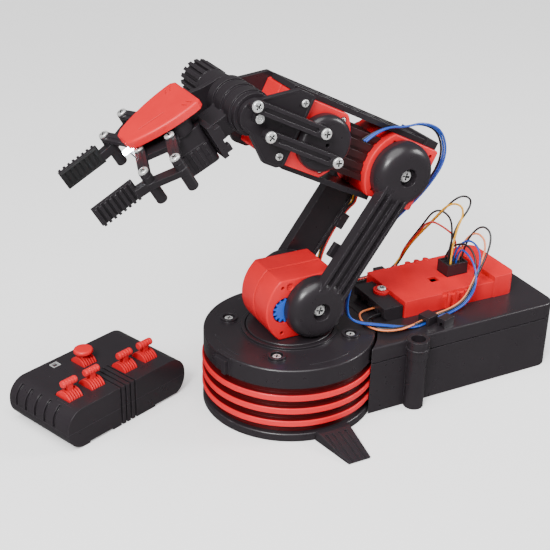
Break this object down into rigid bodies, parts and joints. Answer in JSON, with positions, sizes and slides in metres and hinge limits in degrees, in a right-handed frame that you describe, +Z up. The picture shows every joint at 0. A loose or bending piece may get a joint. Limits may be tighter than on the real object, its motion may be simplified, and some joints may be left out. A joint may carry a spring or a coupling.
{
  "type": "robot arm kit",
  "caption": "Desktop electric robot arm kit: turning drum base with battery box, jointed arm, parallel-jaw gripper with lamp, and a lever hand controller.",
  "frame": {"origin": "centre of the round base's underside, on the turning axis", "axes": "+X the way the arm reaches, +Y the arm's near side (left of its reach), +Z up"},
  "size_m": [0.3366, 0.165, 0.2059],
  "materials": {
    "black_plastic": "fine moulded grain",
    "red_plastic": "satin moulded",
    "dark_red_plastic": "moulded",
    "blue_gear": "satin",
    "white_gear": "moulded",
    "steel_screw": "plated",
    "motor_can": "drawn can",
    "board_green": "coated board",
    "clear_lens": "clear",
    "battery_jacket": "printed sleeve",
    "wire_jacket": "soft sleeve"
  },
  "bodies": {
    "base": {"base_plate": "black_plastic", "ribbed_drum": "red_plastic", "battery_box": "black_plastic", "battery_lid": "black_plastic", "battery_cells": "battery_jacket", "base_disc": "black_plastic", "base_screws": "steel_screw", "yaw_gearmotor": "motor_can", "circuit_cover": "red_plastic", "circuit_board": "board_green", "connector_blocks": "black_plastic", "base_wire_clips": "black_plastic", "base_wires": "wire_jacket"},
    "yaw_pinion": {"yaw_pinion": "white_gear"},
    "turntable": {"turntable": "black_plastic", "shoulder_housing": "red_plastic", "shoulder_motor": "motor_can", "shoulder_housing_screws": "steel_screw", "shoulder_wires": "wire_jacket"},
    "shoulder_pinion": {"shoulder_pinion": "blue_gear"},
    "upper_arm": {"link_near": "black_plastic", "link_far": "black_plastic", "link_screws": "steel_screw", "arm_shafts": "white_gear", "elbow_wires": "wire_jacket"},
    "forearm": {"elbow_housing": "red_plastic", "wrist_housing": "red_plastic", "forearm_motors": "motor_can", "forearm_waist": "dark_red_plastic", "forearm_rails": "black_plastic", "fork_plates": "black_plastic", "forearm_screws": "steel_screw"},
    "wrist_crank": {"wrist_crank": "black_plastic", "crank_screws": "steel_screw"},
    "upper_bar": {"upper_link_bar": "black_plastic"},
    "lower_bar": {"lower_link_bar": "black_plastic"},
    "hand": {"hand_bracket": "black_plastic", "wrist_barrel": "black_plastic", "wrist_motor_housing": "black_plastic", "gripper_housing": "black_plastic", "gripper_motor": "motor_can", "palm_frame": "black_plastic", "hand_cover": "red_plastic", "led_lamp": "clear_lens", "hand_screws": "steel_screw"},
    "front_lever_near": {"front_lever_near": "black_plastic"},
    "rear_lever_near": {"rear_lever_near": "black_plastic"},
    "finger_near": {"finger_near": "black_plastic"},
    "front_lever_far": {"front_lever_far": "black_plastic"},
    "rear_lever_far": {"rear_lever_far": "black_plastic"},
    "finger_far": {"finger_far": "black_plastic"},
    "controller": {"controller_bottom": "black_plastic", "controller_top": "black_plastic", "controller_board": "board_green"},
    "t_lever_1": {"t_lever_1": "red_plastic"},
    "t_lever_2": {"t_lever_2": "red_plastic"},
    "t_lever_3": {"t_lever_3": "red_plastic"},
    "t_lever_4": {"t_lever_4": "red_plastic"},
    "round_lever": {"round_lever": "red_plastic"},
    "light_button": {"light_button": "black_plastic"}
  },
  "joints": [
    {"name": "yaw", "type": "hinge", "parent": "base", "child": "turntable", "pos_m": [0, 0, 0.05], "axis": [0, 0, 1], "range_deg": [-135, 135], "deforming": ["base_wires"]},
    {"name": "yaw_pinion_spin", "type": "hinge", "parent": "base", "child": "yaw_pinion", "pos_m": [0.02612, 0, 0.03], "axis": [0, 0, 1], "range_deg": [-455, 455]},
    {"name": "shoulder", "type": "hinge", "parent": "turntable", "child": "upper_arm", "pos_m": [-0.006, 0, 0.07], "axis": [0, 1, 0], "range_deg": [-22, 38], "deforming": ["shoulder_wires"]},
    {"name": "shoulder_pinion_spin", "type": "hinge", "parent": "turntable", "child": "shoulder_pinion", "pos_m": [0.01212, 0, 0.07], "axis": [0, 1, 0], "range_deg": [-60, 60]},
    {"name": "elbow", "type": "hinge", "parent": "upper_arm", "child": "forearm", "pos_m": [-0.0598, 0, 0.1454], "axis": [0, -1, 0], "range_deg": [-25, 80], "deforming": ["elbow_wires"]},
    {"name": "wrist", "type": "hinge", "parent": "forearm", "child": "hand", "pos_m": [0.03429, 0, 0.19313], "axis": [0, -1, 0], "range_deg": [-12, 85]},
    {"name": "crank_turn", "type": "hinge", "parent": "forearm", "child": "wrist_crank", "pos_m": [-0.00745, 0, 0.17196], "axis": [0, -1, 0], "range_deg": [-12, 85]},
    {"name": "upper_bar_pivot", "type": "hinge", "parent": "wrist_crank", "child": "upper_bar", "pos_m": [-0.00339, 0.026, 0.18099], "axis": [0, -1, 0], "range_deg": [-85, 12]},
    {"name": "lower_bar_pivot", "type": "hinge", "parent": "wrist_crank", "child": "lower_bar", "pos_m": [-0.01151, 0.026, 0.16293], "axis": [0, -1, 0], "range_deg": [-85, 12]},
    {"name": "gripper", "type": "hinge", "parent": "hand", "child": "front_lever_near", "pos_m": [0.0952, 0.0075, 0.17851], "axis": [0.503, 0, 0.8643], "range_deg": [-78, 0]},
    {"name": "rear_lever_near_pivot", "type": "hinge", "parent": "hand", "child": "rear_lever_near", "pos_m": [0.08137, 0.0159, 0.18656], "axis": [0.503, 0, 0.8643], "range_deg": [-78, 0]},
    {"name": "finger_near_pivot", "type": "hinge", "parent": "front_lever_near", "child": "finger_near", "pos_m": [0.10125, 0.029, 0.17499], "axis": [0.503, 0, 0.8643], "range_deg": [0, 78]},
    {"name": "front_lever_far_pivot", "type": "hinge", "parent": "hand", "child": "front_lever_far", "pos_m": [0.0952, -0.0075, 0.17851], "axis": [0.503, 0, 0.8643], "range_deg": [0, 78]},
    {"name": "rear_lever_far_pivot", "type": "hinge", "parent": "hand", "child": "rear_lever_far", "pos_m": [0.08137, -0.0159, 0.18656], "axis": [0.503, 0, 0.8643], "range_deg": [0, 78]},
    {"name": "finger_far_pivot", "type": "hinge", "parent": "front_lever_far", "child": "finger_far", "pos_m": [0.10125, -0.029, 0.17499], "axis": [0.503, 0, 0.8643], "range_deg": [-78, 0]},
    {"name": "controller_lift", "type": "slide", "parent": "base", "child": "controller", "axis": [0, 0, 1], "range_m": [0, 0.08]},
    {"name": "t_lever_1_rock", "type": "hinge", "parent": "controller", "child": "t_lever_1", "pos_m": [0.135, -0.01757, 0.023], "axis": [0.9304, 0.3665, 0], "range_deg": [-14, 14], "stiffness_Nm_per_rad": 0.02},
    {"name": "t_lever_2_rock", "type": "hinge", "parent": "controller", "child": "t_lever_2", "pos_m": [0.11918, -0.0238, 0.023], "axis": [0.9304, 0.3665, 0], "range_deg": [-14, 14], "stiffness_Nm_per_rad": 0.02},
    {"name": "t_lever_3_rock", "type": "hinge", "parent": "controller", "child": "t_lever_3", "pos_m": [0.09499, -0.03333, 0.023], "axis": [0.9304, 0.3665, 0], "range_deg": [-14, 14], "stiffness_Nm_per_rad": 0.02},
    {"name": "t_lever_4_rock", "type": "hinge", "parent": "controller", "child": "t_lever_4", "pos_m": [0.07963, -0.03938, 0.023], "axis": [0.9304, 0.3665, 0], "range_deg": [-14, 14], "stiffness_Nm_per_rad": 0.02},
    {"name": "round_lever_rock", "type": "hinge", "parent": "controller", "child": "round_lever", "pos_m": [0.11505, -0.05015, 0.023], "axis": [0.9304, 0.3665, 0], "range_deg": [-14, 14], "stiffness_Nm_per_rad": 0.02},
    {"name": "light_button_press", "type": "slide", "parent": "controller", "child": "light_button", "axis": [0, 0, -1], "range_m": [0, 0.0012], "stiffness_N_per_m": 200}
  ],
  "couplings": [
    {"joint": "yaw_pinion_spin", "follows": "yaw", "ratio": -3.3333},
    {"joint": "shoulder_pinion_spin", "follows": "shoulder", "ratio": -1.5714},
    {"joint": "crank_turn", "follows": "wrist", "ratio": 1},
    {"joint": "upper_bar_pivot", "follows": "wrist", "ratio": -1},
    {"joint": "lower_bar_pivot", "follows": "wrist", "ratio": -1},
    {"joint": "rear_lever_near_pivot", "follows": "gripper", "ratio": 1},
    {"joint": "finger_near_pivot", "follows": "gripper", "ratio": -1},
    {"joint": "front_lever_far_pivot", "follows": "gripper", "ratio": -1},
    {"joint": "rear_lever_far_pivot", "follows": "gripper", "ratio": -1},
    {"joint": "finger_far_pivot", "follows": "gripper", "ratio": 1}
  ]
}
